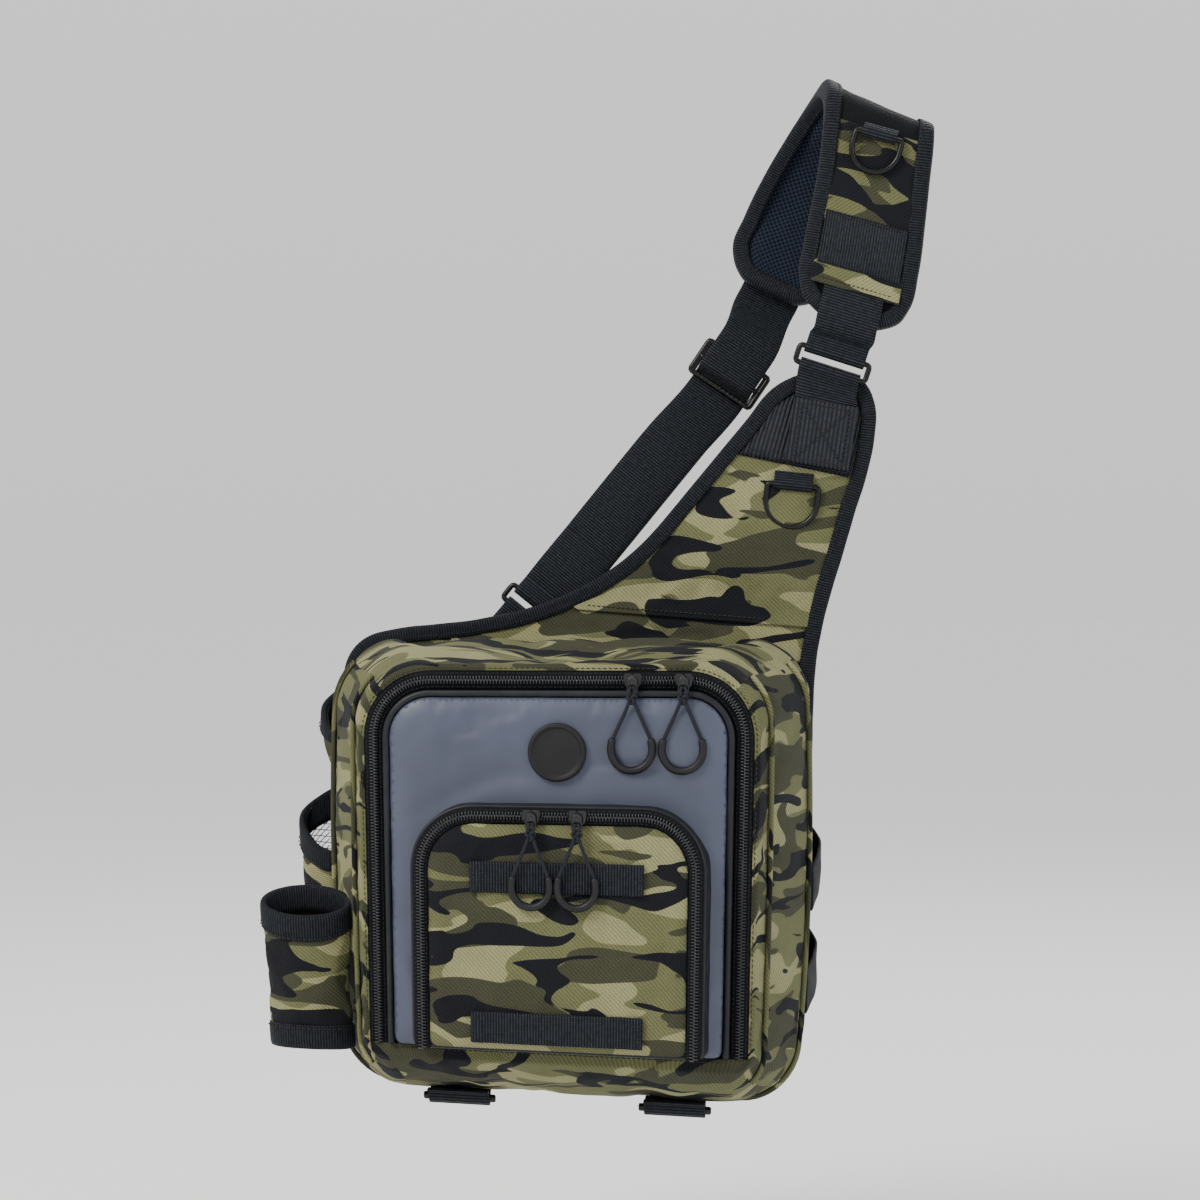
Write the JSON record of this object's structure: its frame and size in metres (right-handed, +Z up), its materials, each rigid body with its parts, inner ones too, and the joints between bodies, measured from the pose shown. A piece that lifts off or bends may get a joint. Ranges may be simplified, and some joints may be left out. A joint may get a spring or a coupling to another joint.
{
  "type": "fishing tackle sling bag",
  "caption": "One-strap sling bag for fishing tackle: boxy zipped body, smaller front pocket, side pockets, tool holder and a wing that runs up to a padded strap.",
  "frame": {"origin": "under the fold of the shoulder pad, where a shoulder or a hook holds the bag up", "axes": "+X to the right seen from the front, +Y towards the wearer's back panel, +Z up"},
  "size_m": [0.4007, 0.2145, 0.6277],
  "materials": {
    "camo_cloth": "woven polyester printed in camouflage",
    "coated_cloth": "smooth coated fabric, satin",
    "black_binding": "ribbed grosgrain tape",
    "webbing": "woven polyester webbing",
    "air_mesh": "padded spacer mesh",
    "zip_tape": "woven tape with nylon coil",
    "plastic": "moulded acetal, satin",
    "slider_metal": "die-cast zinc, black enamel",
    "soft_plastic": "moulded soft PVC",
    "cord": "braided polyester cord"
  },
  "bodies": {
    "bag": {"back_panel": "air_mesh", "back_binding": "black_binding", "bag_shell": "camo_cloth", "side_piping": "camo_cloth", "front_piping_left": "camo_cloth", "front_piping_right": "camo_cloth", "main_zip": "zip_tape", "panel_piping": "black_binding", "front_panel": "coated_cloth", "emblem_disc": "soft_plastic", "pocket_wall": "black_binding", "pocket_zip": "zip_tape", "pocket_face": "camo_cloth", "pocket_webbing_upper": "webbing", "pocket_webbing_lower": "webbing", "main_slider_left": "slider_metal", "main_slider_right": "slider_metal", "pocket_slider_left": "slider_metal", "pocket_slider_right": "slider_metal", "main_pull_cord_left": "cord", "main_pull_cord_right": "cord", "pocket_pull_cord_left": "cord", "pocket_pull_cord_right": "cord", "main_pull_tube_left": "soft_plastic", "main_pull_tube_right": "soft_plastic", "pocket_pull_tube_left": "soft_plastic", "pocket_pull_tube_right": "soft_plastic", "upper_side_pocket": "camo_cloth", "upper_side_binding": "black_binding", "mesh_pocket": "camo_cloth", "mesh_pocket_binding": "black_binding", "tool_holder": "camo_cloth", "tool_holder_top_binding": "black_binding", "tool_holder_base_binding": "black_binding", "side_strap_upper": "webbing", "side_strap_lower": "webbing", "keeper_webbing_left": "webbing", "keeper_webbing_right": "webbing", "keeper_bar_left": "plastic", "keeper_bar_right": "plastic", "wing_patch": "black_binding", "wing_tab": "webbing", "strap_ring": "plastic", "front_webbing": "webbing", "wing_ring_tape": "webbing", "shoulder_pad": "air_mesh", "pad_binding": "black_binding", "pad_cover": "camo_cloth", "pad_band": "webbing", "pad_ring_tape": "webbing", "rear_webbing": "webbing", "strap_slider": "plastic", "lower_ring": "plastic", "lower_tab": "webbing"},
    "wing_ring": {"wing_d_ring": "plastic"},
    "pad_ring": {"pad_d_ring": "plastic"}
  },
  "joints": [
    {"name": "wing_ring_swing", "type": "hinge", "parent": "bag", "child": "wing_ring", "pos_m": [-0.048, -0.02725, -0.2265], "axis": [-0.9945, 0, 0.1045], "range_deg": [0, 150]},
    {"name": "pad_ring_swing", "type": "hinge", "parent": "bag", "child": "pad_ring", "pos_m": [0.0045, -0.03723, -0.0145], "axis": [-0.9613, 0, 0.2756], "range_deg": [0, 150]}
  ]
}
